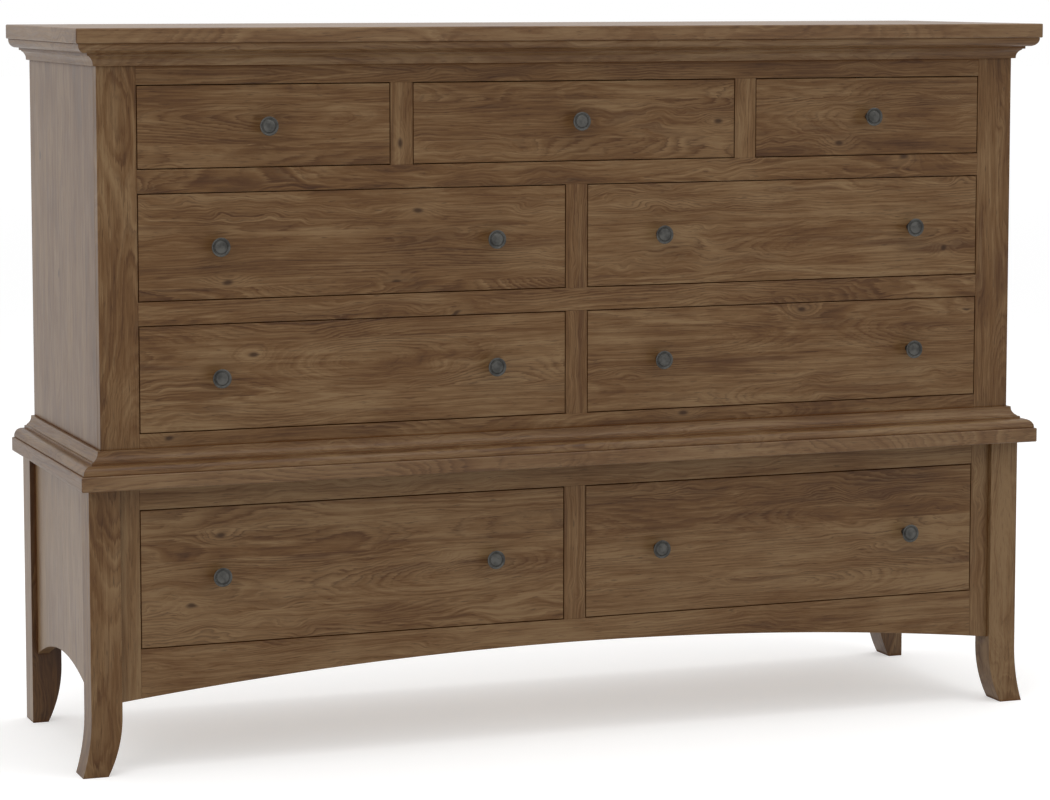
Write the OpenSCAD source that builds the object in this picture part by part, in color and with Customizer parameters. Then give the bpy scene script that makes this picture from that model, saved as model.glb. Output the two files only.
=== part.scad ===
// Dresser with nine drawers in two tiers: a wide upper case of three rows stands on a waist board
// over a lower case on four legs. Millimetres, +X to the right, +Y to the back, +Z up.
// The origin is on the floor under the middle of the top board.

/* [Whole dresser] */
// Width over the top board and the waist board
board_w = 1702; // [1660:1:1760]
// Depth over the same boards
board_d = 521; // [500:1:560]
// Height from the floor to the top
height = 1195; // [1165:1:1235]

/* [Boards] */
// Thickness of the top board and the waist board
board_t = 24; // [20:0.5:28]
// How far the edges of the boards are cut back
ease = 1.5; // [0.5:0.1:2.5]

/* [Upper case] */
// How far the boards stand out past the upper case at the front and the ends
overhang = 40; // [38:0.5:46]
// Width of the corner stiles
stile_w = 64; // [58:0.5:70]
// Thickness of the stiles, rails and dividers
frame_t = 20; // [18:0.5:24]
// Height of the rails between the rows
rail_h = 38; // [34:0.5:42]
// Width of the dividers between drawers that stand side by side
divider_w = 38; // [34:0.5:42]
// Height of the rail under the top board
top_rail_h = 66; // [60:0.5:72]
// Height of the rail on the waist board
bottom_rail_h = 59.5; // [54:0.5:66]
// Thickness of the case sides, upper and lower
side_t = 20; // [18:0.5:24]
// Thickness of the back panels
back_t = 8; // [6:0.5:12]
// How far the upper back panel is let into each side
back_let_in = 10; // [6:0.5:14]

/* [Mouldings] */
// How far the quarter round stands out from the case
round_out = 36; // [34:0.5:37.5]
// Height of the quarter round strip
round_h = 15; // [14:0.5:18]
// Radius of the quarter round
round_r = 13; // [11:0.5:13.5]
// How far the cove strip stands out from the case
cove_out = 18; // [16:0.5:20]
// Height of the cove strip
cove_h = 21; // [19:0.5:24]
// Radius of the hollow in the cove strip
cove_r = 14.5; // [13:0.5:16]
// Height of the fillet on the wide side of the cove
cove_fillet = 4.5; // [3:0.5:6]
// Step from the fillet in to the hollow
cove_step = 4; // [3:0.5:5]
// How far the thin foot of the cove stands out from the case
cove_foot = 6; // [4:0.5:8]
// Height of the foot of the cove
cove_foot_h = 2; // [1.5:0.5:3]

/* [Lower case] */
// Distance from the waist board's front edge back to the legs
leg_setback = 36; // [30:0.5:42]
// Distance from the waist board's ends in to the legs
leg_end_setback = 19; // [16:0.5:24]
// Width and depth of each leg
leg_w = 51; // [46:0.5:56]
// How far the face frame and the side panels sit back from the faces of the legs
panel_recess = 10; // [6:0.5:14]
// Width of the stiles beside the legs
lower_stile_w = 34; // [28:0.5:40]
// Height of the rail under the waist board
lower_rail_h = 39.5; // [35:0.5:45]
// Height of the lowest drawer openings above the floor
sill_z = 201.5; // [190:0.5:215]
// Height of the apron at the middle of its arch
apron_h = 39.5; // [36:0.5:44]
// Rise of the apron's arch between the front legs
apron_rise = 45; // [35:0.5:55]
// Distance from the drawer sill down to the top of each side panel's arch
side_arch_drop = 41.5; // [40:0.5:48]
// Rise of the side panels' arches
side_arch_rise = 40; // [30:0.5:48]
// Height at which the legs begin to flare
flare_h = 98; // [85:1:110]
// How far the inner edge of each foot has moved out at the floor
foot_in = 24; // [18:0.5:28]
// How far the outer edge of each front foot has moved out at the floor
foot_out = 15; // [10:0.5:18]

/* [Drawer openings] */
// Height of the top row's openings
row1_h = 134; // [120:0.5:150]
// Height of the lowest row's openings
row4_h = 225.5; // [205:0.5:245]
// Width of the middle opening in the top row
row1_mid_w = 573; // [520:1:620]

/* [Drawers] */
// Gap all round each drawer front
reveal = 1.5; // [1:0.1:2.5]
// How far the edges of each drawer front are cut back
front_ease = 0.6; // [0.3:0.1:2]
// Thickness of the drawer fronts
front_t = 20; // [18:0.5:24]
// Thickness of the drawer sides and backs
box_t = 13; // [11:0.5:16]
// How much lower the drawer sides are than the fronts
box_drop = 12; // [8:0.5:20]
// How much lower the drawer backs are than the sides
back_drop = 6; // [0:0.5:12]
// Space between the drawer boxes and the back panels
box_end_gap = 27.5; // [24:0.5:60]
// Thickness of the drawer bottoms
bottom_t = 6; // [5:0.5:8]
// Height of the drawer bottoms above the lower edges of the sides
bottom_up = 12; // [8:0.5:16]
// Depth of the grooves that hold the drawer bottoms
groove_d = 6; // [4:0.5:8]
// Spare height of those grooves, and spare width of each bottom
groove_fit = 0.3; // [0.1:0.1:0.6]
// Length of the dovetails let into the back of each front
dovetail_l = 14; // [10:0.5:16]
// Width of each dovetail at its wide end
dovetail_w = 22; // [18:0.5:25]
// How much narrower each dovetail is at its root
dovetail_taper = 5; // [3:0.5:7]
// Least distance from one dovetail to the next
dovetail_pitch = 34; // [30:0.5:44]

/* [Runners] */
// Running gap under the drawer sides
slide_gap = 0.3; // [0.2:0.1:0.6]
// Play between each drawer side and its guide
side_play = 0.5; // [0.3:0.1:1]
// How far the runners reach in under the drawers
runner_lap = 25; // [20:0.5:32]
// Height of the guides above the runners
guide_h = 20; // [14:0.5:26]
// Width of the guides along the case sides
guide_w = 20; // [14:0.5:26]
// Thickness of the rails across the back that hold the runners
rear_rail_t = 20; // [16:0.5:23]

/* [Knobs] */
// Diameter of the knob's head
knob_d = 31; // [28:0.5:34]
// How far the knob stands out from the drawer front
knob_out = 26; // [24:0.5:30]
// Diameter of the knob's foot
knob_foot_d = 16; // [14:0.5:18]
// Diameter of the knob's neck
knob_neck_d = 11; // [9:0.5:12]
// Thickness of the foot's edge
knob_foot_t = 1.5; // [1:0.5:2.5]
// Width of the rounded rim at the edge of the head
knob_rim_w = 2.6; // [2:0.2:3.4]
// Diameter of the raised disc inside the rim
knob_disc_d = 21; // [18:0.5:23]
// Height of the disc's edge above the groove round it
knob_disc_t = 1; // [0.5:0.1:1.5]
// How far the middle of the disc stands out past the rim
knob_crown = 0.8; // [0.4:0.1:1.5]
// Distance between the two knobs of a wide drawer
knob_spacing = 468; // [420:1:500]
// Diameter of the knob screw
screw_d = 4; // [3:0.5:5]
// Diameter of the screw's head
screw_head_d = 9; // [8:0.5:11]
// Height of the screw's head
screw_head_h = 2.5; // [2:0.5:4]
// How far the screw reaches into the knob
screw_reach = 10; // [8:0.5:14]

/* [Hidden] */
$fn = 96;
wood = "#6b523a";
side_wood = "#7b6248";
box_wood = "#c9a878";
panel_wood = "#b8946a";
pewter = "#5a5c5c";
// Clearance all round a knob screw in the drawer front, and in the knob's thread
screw_hole_gap = 0.25;
thread_gap = 0.05;
// Spare depth of the knob's thread past the end of its screw
thread_spare = 1;
// Thickness of the glue line in a mitre and between a drawer's back and its sides
glue_line = 0.1;
// How far a cutter reaches past what it cuts
past = 1;
// Angles on the knob's rim where its arc leaves the bowl and where it ends in the groove
rim_from = -75;
rim_to = 165;
// Steps in each arc of the knob's outline
arc_steps = 8;
// Steps in half of each arch
arch_steps = 30;

// Heights, from the floor up. The second and third rows share what the rest of the upper case leaves
waist_z = sill_z + row4_h + lower_rail_h;
upper_z = waist_z + board_t;
top_z = height - board_t;
row3_z = upper_z + bottom_rail_h;
row1_z = top_z - top_rail_h - row1_h;
middle_row_h = (row1_z - row3_z) / 2 - rail_h;
row2_z = row3_z + middle_row_h + rail_h;

// Planes, from front to back
case_y = overhang - board_d / 2;
leg_y = leg_setback - board_d / 2;
lower_y = leg_y + panel_recess;
rear_y = board_d / 2;
back_y = rear_y - back_t;
rear_rail_y = back_y - rear_rail_t;
box_end_y = back_y - box_end_gap;

// Distances from the middle out to each side
case_x = board_w / 2 - overhang;
case_in_x = case_x - side_t;
open_x = case_x - stile_w;
leg_x = board_w / 2 - leg_end_setback;
leg_in_x = leg_x - leg_w;
lower_open_x = leg_in_x - lower_stile_w;
mid_x = row1_mid_w / 2;
top_divider_x = mid_x + divider_w / 2;

// Runners: the top stands clear of the drawer sides by the running gap
runner_up = reveal - slide_gap;
runner_h = rail_h + runner_up;

// Arches: radius of a circle with this rise over half this span
function arch_r(half, rise) = (half * half + rise * rise) / (2 * rise);
apron_top_z = sill_z - apron_h;
apron_r = arch_r(leg_in_x, apron_rise);
side_half = (rear_y - leg_w - (leg_y + leg_w)) / 2;
side_mid_y = (rear_y - leg_w + leg_y + leg_w) / 2;
side_arch_z = sill_z - side_arch_drop;
side_arch_r = arch_r(side_half, side_arch_rise);

// Each opening: left edge, right edge, bottom, height, front plane and number of knobs
OPENINGS = [
    [-open_x, -mid_x - divider_w, row1_z, row1_h, case_y, 1],
    [-mid_x, mid_x, row1_z, row1_h, case_y, 1],
    [mid_x + divider_w, open_x, row1_z, row1_h, case_y, 1],
    [-open_x, -divider_w / 2, row2_z, middle_row_h, case_y, 2],
    [divider_w / 2, open_x, row2_z, middle_row_h, case_y, 2],
    [-open_x, -divider_w / 2, row3_z, middle_row_h, case_y, 2],
    [divider_w / 2, open_x, row3_z, middle_row_h, case_y, 2],
    [-lower_open_x, -divider_w / 2, sill_z, row4_h, lower_y, 2],
    [divider_w / 2, lower_open_x, sill_z, row4_h, lower_y, 2],
];
row1_left = OPENINGS[0];
row1_middle = OPENINGS[1];
row1_right = OPENINGS[2];
row2_left = OPENINGS[3];
row2_right = OPENINGS[4];
row3_left = OPENINGS[5];
row3_right = OPENINGS[6];
row4_left = OPENINGS[7];
row4_right = OPENINGS[8];

// A box from its lowest corner to its highest
module block(low, high) {
    translate(low) cube(high - low);
}

// Both hands of what is drawn on the right
module pair() {
    children();
    mirror([1, 0, 0]) children();
}

// Boards with eased edges

module cut_corners(a, b) {
    polygon([[ease, 0], [a - ease, 0], [a, ease], [a, b - ease], [a - ease, b], [ease, b], [0, b - ease], [0, ease]]);
}

module eased_board(z) {
    color(wood)
    translate([-board_w / 2, -board_d / 2, z])
    intersection() {
        linear_extrude(board_t) cut_corners(board_w, board_d);
        rotate([90, 0, 0]) mirror([0, 0, 1]) linear_extrude(board_d) cut_corners(board_w, board_t);
        rotate([90, 0, 90]) linear_extrude(board_w) cut_corners(board_d, board_t);
    }
}

module top_board() {
    eased_board(top_z);
}

module waist_board() {
    eased_board(waist_z);
}

// Mouldings: drawn as they hang under a board, with the case at x = 0 and the board at y = 0

module round_profile() {
    translate([0, -round_h + round_r]) square([round_out, round_h - round_r]);
    translate([0, -round_h]) square([round_out - round_r, round_h]);
    intersection() {
        translate([round_out - round_r, -round_h + round_r]) circle(round_r);
        translate([round_out - round_r, -round_h]) square([round_r, round_r]);
    }
}

module cove_profile() {
    step_x = cove_out - cove_step;
    translate([0, -cove_fillet]) square([cove_out, cove_fillet]);
    translate([0, -cove_h]) square([cove_foot, cove_h]);
    difference() {
        translate([cove_foot, cove_foot_h - cove_h]) square([step_x - cove_foot, cove_h - cove_foot_h - cove_fillet]);
        translate([cove_foot + cove_r, cove_foot_h - cove_h]) circle(cove_r);
    }
}

module moulding_profile() {
    round_profile();
    translate([0, -round_h]) cove_profile();
}

// Three lengths that meet in mitres at the front corners
module moulding_runs() {
    far_x = case_x + round_out;
    near_y = case_y - round_out;
    high = round_h + cove_h;
    intersection() {
        translate([-far_x, case_y, 0]) rotate([90, 0, 90]) linear_extrude(2 * far_x)
            mirror([1, 0]) moulding_profile();
        translate([0, 0, -high]) linear_extrude(high)
            polygon([[-case_x, case_y], [case_x, case_y], [far_x, near_y], [-far_x, near_y]]);
    }
    pair() intersection() {
        translate([case_x, near_y, 0]) rotate([90, 0, 0]) mirror([0, 0, 1]) linear_extrude(rear_y - near_y)
            moulding_profile();
        translate([0, 0, -high]) linear_extrude(high)
            polygon([
                [case_x, case_y + glue_line],
                [far_x, near_y + glue_line],
                [far_x, rear_y],
                [case_x, rear_y],
            ]);
    }
}

module cornice_moulding() {
    color(wood) translate([0, 0, top_z]) moulding_runs();
}

module waist_moulding() {
    color(wood) translate([0, 0, upper_z]) mirror([0, 0, 1]) moulding_runs();
}

// Upper case

module upper_side() {
    color(side_wood)
    difference() {
        block([case_in_x, case_y + frame_t, upper_z], [case_x, rear_y, top_z]);
        block([case_in_x - past, back_y, upper_z - past], [case_in_x + back_let_in, rear_y + past, top_z + past]);
    }
}

module upper_side_right() {
    upper_side();
}

module upper_side_left() {
    mirror([1, 0, 0]) upper_side();
}

module upper_stiles() {
    color(wood) pair() block([open_x, case_y, upper_z], [case_x, case_y + frame_t, top_z]);
}

module upper_rail(z, h) {
    block([-open_x, case_y, z], [open_x, case_y + frame_t, z + h]);
}

module upper_rails() {
    color(wood) {
        upper_rail(upper_z, bottom_rail_h);
        upper_rail(row2_z - rail_h, rail_h);
        upper_rail(row1_z - rail_h, rail_h);
        upper_rail(top_z - top_rail_h, top_rail_h);
    }
}

module divider(x, z, h, y) {
    block([x - divider_w / 2, y, z], [x + divider_w / 2, y + frame_t, z + h]);
}

module upper_dividers() {
    color(wood) {
        pair() divider(top_divider_x, row1_z, row1_h, case_y);
        divider(0, row2_z, middle_row_h, case_y);
        divider(0, row3_z, middle_row_h, case_y);
    }
}

module upper_back() {
    half = case_in_x + back_let_in;
    color(panel_wood) block([-half, back_y, upper_z], [half, rear_y, top_z]);
}

// Lower case

// A circle that leaves a vertical line at the flare's height and has moved by this much at the floor
module flare_circle(move) {
    r = arch_r(flare_h, move);
    translate([r, flare_h]) circle(r, $fn = 360);
}

// A right-hand leg from the front, with its inner face at x = 0
module leg_profile(out) {
    translate([0, flare_h]) square([leg_w, waist_z - flare_h]);
    difference() {
        intersection() {
            square([leg_w + out, flare_h]);
            flare_circle(foot_in);
        }
        if (out > 0) translate([leg_w, 0]) flare_circle(out);
    }
}

module leg(out, y) {
    color(wood) translate([leg_in_x, y, 0])
        rotate([90, 0, 0]) mirror([0, 0, 1]) linear_extrude(leg_w) leg_profile(out);
}

module front_leg_right() {
    leg(foot_out, leg_y);
}

module front_leg_left() {
    mirror([1, 0, 0]) leg(foot_out, leg_y);
}

module rear_leg_right() {
    leg(0, rear_y - leg_w);
}

module rear_leg_left() {
    mirror([1, 0, 0]) leg(0, rear_y - leg_w);
}

// Height of an arch with this crown and radius, at this distance from its middle
function arch_z(x, crown, r) = crown - r + sqrt(r * r - x * x);

module lower_side() {
    color(side_wood)
    translate([leg_x - panel_recess - side_t, side_mid_y, 0])
        rotate([90, 0, 90]) linear_extrude(side_t) polygon([
            for (i = [-arch_steps : arch_steps])
                let (y = side_half * i / arch_steps) [y, arch_z(y, side_arch_z, side_arch_r)],
            [side_half, waist_z],
            [-side_half, waist_z],
        ]);
}

module lower_side_right() {
    lower_side();
}

module lower_side_left() {
    mirror([1, 0, 0]) lower_side();
}

// A board of the lower face frame with the arch for its lower edge, in steps of the arc
module arched_board(left, right, high, steps) {
    translate([0, lower_y + frame_t, 0]) rotate([90, 0, 0]) linear_extrude(frame_t) polygon([
        for (i = [0 : steps])
            let (x = left + (right - left) * i / steps) [x, arch_z(x, apron_top_z, apron_r)],
        [right, high],
        [left, high],
    ]);
}

module lower_stiles() {
    color(wood) pair() arched_board(lower_open_x, leg_in_x, waist_z, 2);
}

module front_apron() {
    color(wood) arched_board(-lower_open_x, lower_open_x, sill_z, 2 * arch_steps);
}

module lower_top_rail() {
    color(wood)
    block([-lower_open_x, lower_y, waist_z - lower_rail_h], [lower_open_x, lower_y + frame_t, waist_z]);
}

module lower_divider() {
    color(wood) divider(0, sill_z, row4_h, lower_y);
}

module lower_back() {
    color(panel_wood)
    block([-leg_in_x, back_y, sill_z - rail_h], [leg_in_x, rear_y, waist_z]);
}

// Runners, guides and rear rails, under each row of drawers

module side_runner(open, wall, y, z) {
    pair() block([open - reveal - runner_lap, y, z - rail_h], [wall, rear_rail_y, z + runner_up]);
}

module middle_runner(x, y, z) {
    half = divider_w / 2 + reveal + runner_lap;
    block([x - half, y, z - rail_h], [x + half, rear_rail_y, z + runner_up]);
}

module side_guide(open, y, z) {
    low_x = open - reveal + side_play;
    pair() block([low_x, y, z + runner_up], [low_x + guide_w, rear_rail_y, z + runner_up + guide_h]);
}

module middle_guide(x, y, z) {
    half = divider_w / 2 + reveal - side_play;
    block([x - half, y, z + runner_up], [x + half, rear_rail_y, z + runner_up + guide_h]);
}

module drawer_runners() {
    upper_y = case_y + frame_t;
    color(box_wood) {
        for (z = [row1_z, row2_z, row3_z]) side_runner(open_x, case_in_x, upper_y, z);
        pair() middle_runner(top_divider_x, upper_y, row1_z);
        for (z = [row2_z, row3_z]) middle_runner(0, upper_y, z);
        side_runner(lower_open_x, leg_in_x, lower_y + frame_t, sill_z);
        middle_runner(0, lower_y + frame_t, sill_z);
    }
}

module drawer_guides() {
    upper_y = case_y + frame_t;
    color(box_wood) {
        for (z = [row1_z, row2_z, row3_z]) side_guide(open_x, upper_y, z);
        pair() middle_guide(top_divider_x, upper_y, row1_z);
        for (z = [row2_z, row3_z]) middle_guide(0, upper_y, z);
        side_guide(lower_open_x, lower_y + frame_t, sill_z);
        middle_guide(0, lower_y + frame_t, sill_z);
    }
}

module rear_rail(half, z) {
    block([-half, rear_rail_y, z - rail_h], [half, back_y, z + runner_up]);
}

module rear_rails() {
    color(box_wood) {
        for (z = [row1_z, row2_z, row3_z]) rear_rail(case_in_x, z);
        rear_rail(leg_in_x, sill_z);
    }
}

// Drawers: o is one line of OPENINGS

function drawer_w(o) = o[1] - o[0] - 2 * reveal;
function front_h(o) = o[3] - 2 * reveal;
function side_h(o) = front_h(o) - box_drop;
function box_l(o) = box_end_y - o[4];
function knob_places(o) = o[5] == 1 ? [0] : [-knob_spacing / 2, knob_spacing / 2];

// Places what follows with the lower left corner of the drawer front at the origin
module in_drawer(o) {
    translate([o[0] + reveal, o[4], o[2] + reveal]) children();
}

// The dovetails of one drawer side, seen from the side, with y along x and z along y
module tails(h) {
    count = floor(h / dovetail_pitch);
    root = dovetail_w - dovetail_taper;
    for (i = [0 : count - 1]) {
        z = h * (i + 0.5) / count;
        polygon([
            [front_t, z - root / 2],
            [front_t - dovetail_l, z - dovetail_w / 2],
            [front_t - dovetail_l, z + dovetail_w / 2],
            [front_t, z + root / 2],
        ]);
    }
}

// A shape seen from the side, as thick as a drawer side
module sideways(x) {
    translate([x, 0, 0]) rotate([90, 0, 90]) linear_extrude(box_t) children();
}

module front_blank(w, h) {
    e = front_ease;
    intersection() {
        linear_extrude(h)
            polygon([[e, 0], [w - e, 0], [w, e], [w, front_t], [0, front_t], [0, e]]);
        rotate([90, 0, 90]) linear_extrude(w)
            polygon([[0, e], [0, h - e], [e, h], [front_t, h], [front_t, 0], [e, 0]]);
    }
}

module drawer_front(o) {
    w = drawer_w(o);
    h = front_h(o);
    color(wood)
    in_drawer(o)
    difference() {
        front_blank(w, h);
        for (x = [0, w - box_t]) sideways(x) tails(side_h(o));
        block([box_t, front_t - groove_d, bottom_up], [w - box_t, front_t + past, bottom_up + bottom_t + groove_fit]);
        for (x = knob_places(o)) translate([w / 2 + x, -past, h / 2]) rotate([-90, 0, 0])
            cylinder(h = front_t + 2 * past, r = screw_d / 2 + screw_hole_gap);
    }
}

module drawer_side(o) {
    sideways(0) {
        translate([front_t, 0]) square([box_l(o) - front_t, side_h(o)]);
        tails(side_h(o));
    }
}

module drawer_box(o) {
    w = drawer_w(o);
    groove_top = bottom_up + bottom_t + groove_fit;
    color(box_wood)
    in_drawer(o) {
        difference() {
            drawer_side(o);
            block([box_t - groove_d, front_t, bottom_up], [box_t + past, box_l(o) + past, groove_top]);
        }
        difference() {
            translate([w - box_t, 0, 0]) drawer_side(o);
            block([w - box_t - past, front_t, bottom_up], [w - box_t + groove_d, box_l(o) + past, groove_top]);
        }
        block(
            [box_t + glue_line, box_l(o) - box_t, bottom_up + bottom_t],
            [w - box_t - glue_line, box_l(o), side_h(o) - back_drop]
        );
    }
}

module drawer_bottom(o) {
    w = drawer_w(o);
    edge_x = box_t - groove_d + groove_fit;
    color(panel_wood)
    in_drawer(o)
    translate([0, 0, bottom_up]) linear_extrude(bottom_t) polygon([
        [box_t, front_t - groove_d + groove_fit],
        [w - box_t, front_t - groove_d + groove_fit],
        [w - box_t, front_t],
        [w - edge_x, front_t],
        [w - edge_x, box_l(o)],
        [edge_x, box_l(o)],
        [edge_x, front_t],
        [box_t, front_t],
    ]);
}

// Knobs: turned about the z axis, standing on z = 0

// Points on an arc, from one angle to another
function arc(x, y, r, from, to) =
    [for (i = [0 : arc_steps]) let (a = from + (to - from) * i / arc_steps) [x + r * cos(a), y + r * sin(a)]];

module knob_profile() {
    r = knob_d / 2;
    foot_r = knob_foot_d / 2;
    neck_r = knob_neck_d / 2;
    disc_r = knob_disc_d / 2;
    rim_r = knob_rim_w / 2;
    rim_z = knob_out - knob_crown - rim_r;
    foot_hollow = foot_r - neck_r;
    bowl = r - rim_r - neck_r;
    disc_z = rim_z + knob_disc_t;
    crown_h = knob_out - disc_z;
    crown_r = arch_r(disc_r, crown_h);
    crown_a = acos(disc_r / crown_r);
    polygon(concat(
        [[0, 0], [foot_r, 0]],
        arc(foot_r, knob_foot_t + foot_hollow, foot_hollow, 270, 180),
        arc(r - rim_r, rim_z - rim_r - bowl, bowl, 180, 90),
        arc(r - rim_r, rim_z, rim_r, rim_from, rim_to),
        [[disc_r, rim_z]],
        arc(0, knob_out - crown_r, crown_r, crown_a, 90)
    ));
}

module knob() {
    difference() {
        rotate_extrude() knob_profile();
        translate([0, 0, -past])
            cylinder(h = screw_reach + thread_spare + past, r = screw_d / 2 + thread_gap);
    }
}

// The screw comes through the drawer front from inside, with its head on the back of the front
module knob_screw() {
    translate([0, 0, -front_t]) cylinder(h = front_t + screw_reach, r = screw_d / 2);
    translate([0, 0, -front_t - screw_head_h]) cylinder(h = screw_head_h, r = screw_head_d / 2);
}

module drawer_knobs(o) {
    color(pewter)
    in_drawer(o)
    for (x = knob_places(o)) translate([drawer_w(o) / 2 + x, 0, front_h(o) / 2]) rotate([90, 0, 0]) {
        knob();
        knob_screw();
    }
}

top_board();
cornice_moulding();
upper_side_left();
upper_side_right();
upper_stiles();
upper_rails();
upper_dividers();
upper_back();
waist_board();
waist_moulding();
front_leg_left();
front_leg_right();
rear_leg_left();
rear_leg_right();
lower_side_left();
lower_side_right();
lower_stiles();
lower_top_rail();
lower_divider();
front_apron();
lower_back();
drawer_runners();
drawer_guides();
rear_rails();
drawer_front(row1_left);  // row1_left_front
drawer_box(row1_left);  // row1_left_box
drawer_bottom(row1_left);  // row1_left_bottom
drawer_knobs(row1_left);  // row1_left_knob
drawer_front(row1_middle);  // row1_middle_front
drawer_box(row1_middle);  // row1_middle_box
drawer_bottom(row1_middle);  // row1_middle_bottom
drawer_knobs(row1_middle);  // row1_middle_knob
drawer_front(row1_right);  // row1_right_front
drawer_box(row1_right);  // row1_right_box
drawer_bottom(row1_right);  // row1_right_bottom
drawer_knobs(row1_right);  // row1_right_knob
drawer_front(row2_left);  // row2_left_front
drawer_box(row2_left);  // row2_left_box
drawer_bottom(row2_left);  // row2_left_bottom
drawer_knobs(row2_left);  // row2_left_knobs
drawer_front(row2_right);  // row2_right_front
drawer_box(row2_right);  // row2_right_box
drawer_bottom(row2_right);  // row2_right_bottom
drawer_knobs(row2_right);  // row2_right_knobs
drawer_front(row3_left);  // row3_left_front
drawer_box(row3_left);  // row3_left_box
drawer_bottom(row3_left);  // row3_left_bottom
drawer_knobs(row3_left);  // row3_left_knobs
drawer_front(row3_right);  // row3_right_front
drawer_box(row3_right);  // row3_right_box
drawer_bottom(row3_right);  // row3_right_bottom
drawer_knobs(row3_right);  // row3_right_knobs
drawer_front(row4_left);  // row4_left_front
drawer_box(row4_left);  // row4_left_box
drawer_bottom(row4_left);  // row4_left_bottom
drawer_knobs(row4_left);  // row4_left_knobs
drawer_front(row4_right);  // row4_right_front
drawer_box(row4_right);  // row4_right_box
drawer_bottom(row4_right);  // row4_right_bottom
drawer_knobs(row4_right);  // row4_right_knobs
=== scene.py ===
import math

import bpy
from mathutils import Matrix, Vector


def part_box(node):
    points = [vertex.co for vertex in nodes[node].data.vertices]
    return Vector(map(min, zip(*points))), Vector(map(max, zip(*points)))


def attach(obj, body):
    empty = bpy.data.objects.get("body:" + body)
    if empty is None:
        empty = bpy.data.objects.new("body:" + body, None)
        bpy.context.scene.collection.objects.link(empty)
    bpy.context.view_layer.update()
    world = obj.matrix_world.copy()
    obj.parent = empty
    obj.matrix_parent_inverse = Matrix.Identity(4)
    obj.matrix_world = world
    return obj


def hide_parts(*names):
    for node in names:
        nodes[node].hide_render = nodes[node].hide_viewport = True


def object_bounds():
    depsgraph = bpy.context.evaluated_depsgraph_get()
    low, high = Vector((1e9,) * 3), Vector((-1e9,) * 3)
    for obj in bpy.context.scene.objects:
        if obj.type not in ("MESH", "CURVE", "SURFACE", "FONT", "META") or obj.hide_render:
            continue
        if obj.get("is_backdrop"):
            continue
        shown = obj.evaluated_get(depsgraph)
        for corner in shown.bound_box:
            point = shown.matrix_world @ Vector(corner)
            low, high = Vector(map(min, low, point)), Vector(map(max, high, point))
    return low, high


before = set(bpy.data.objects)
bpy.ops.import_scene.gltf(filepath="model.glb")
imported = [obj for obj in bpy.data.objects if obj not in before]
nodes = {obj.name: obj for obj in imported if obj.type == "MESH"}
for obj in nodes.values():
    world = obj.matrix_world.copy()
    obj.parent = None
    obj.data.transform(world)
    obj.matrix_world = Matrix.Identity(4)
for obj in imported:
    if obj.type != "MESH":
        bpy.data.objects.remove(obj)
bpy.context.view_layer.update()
mm = 0.001

print("dresser: frame loaded,", len(nodes), "nodes")


def hexColour(text):
    # sRGB hex to linear light
    parts = [int(text[i:i + 2], 16) / 255 for i in (1, 3, 5)]
    linear = [v / 12.92 if v <= 0.04045 else ((v + 0.055) / 1.055) ** 2.4 for v in parts]
    return (*linear, 1.0)


def addNode(tree, kind, settings, links=None):
    # settings are the node's own options or its unlinked inputs, and "stops" are a colour ramp's
    node = tree.nodes.new(kind)
    for key, value in settings.items():
        if key == "stops":
            ramp = node.color_ramp.elements
            while len(ramp) < len(value):
                ramp.new(0.5)
            for stop, (place, colour) in zip(ramp, value):
                stop.position = place
                stop.color = hexColour(colour) if isinstance(colour, str) else (colour, colour, colour, 1)
        elif isinstance(key, int) or key in node.inputs:
            node.inputs[key].default_value = value
        else:
            setattr(node, key, value)
    for key, source in (links or {}).items():
        tree.links.new(source, node.inputs[key])
    return node


def newMaterial(name):
    material = bpy.data.materials.new(name)
    material.use_nodes = True
    material.node_tree.nodes.clear()
    return material, material.node_tree


def selectOnly(piece):
    for thing in bpy.context.selected_objects:
        thing.select_set(False)
    if piece:
        piece.select_set(True)
        bpy.context.view_layer.objects.active = piece


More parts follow.
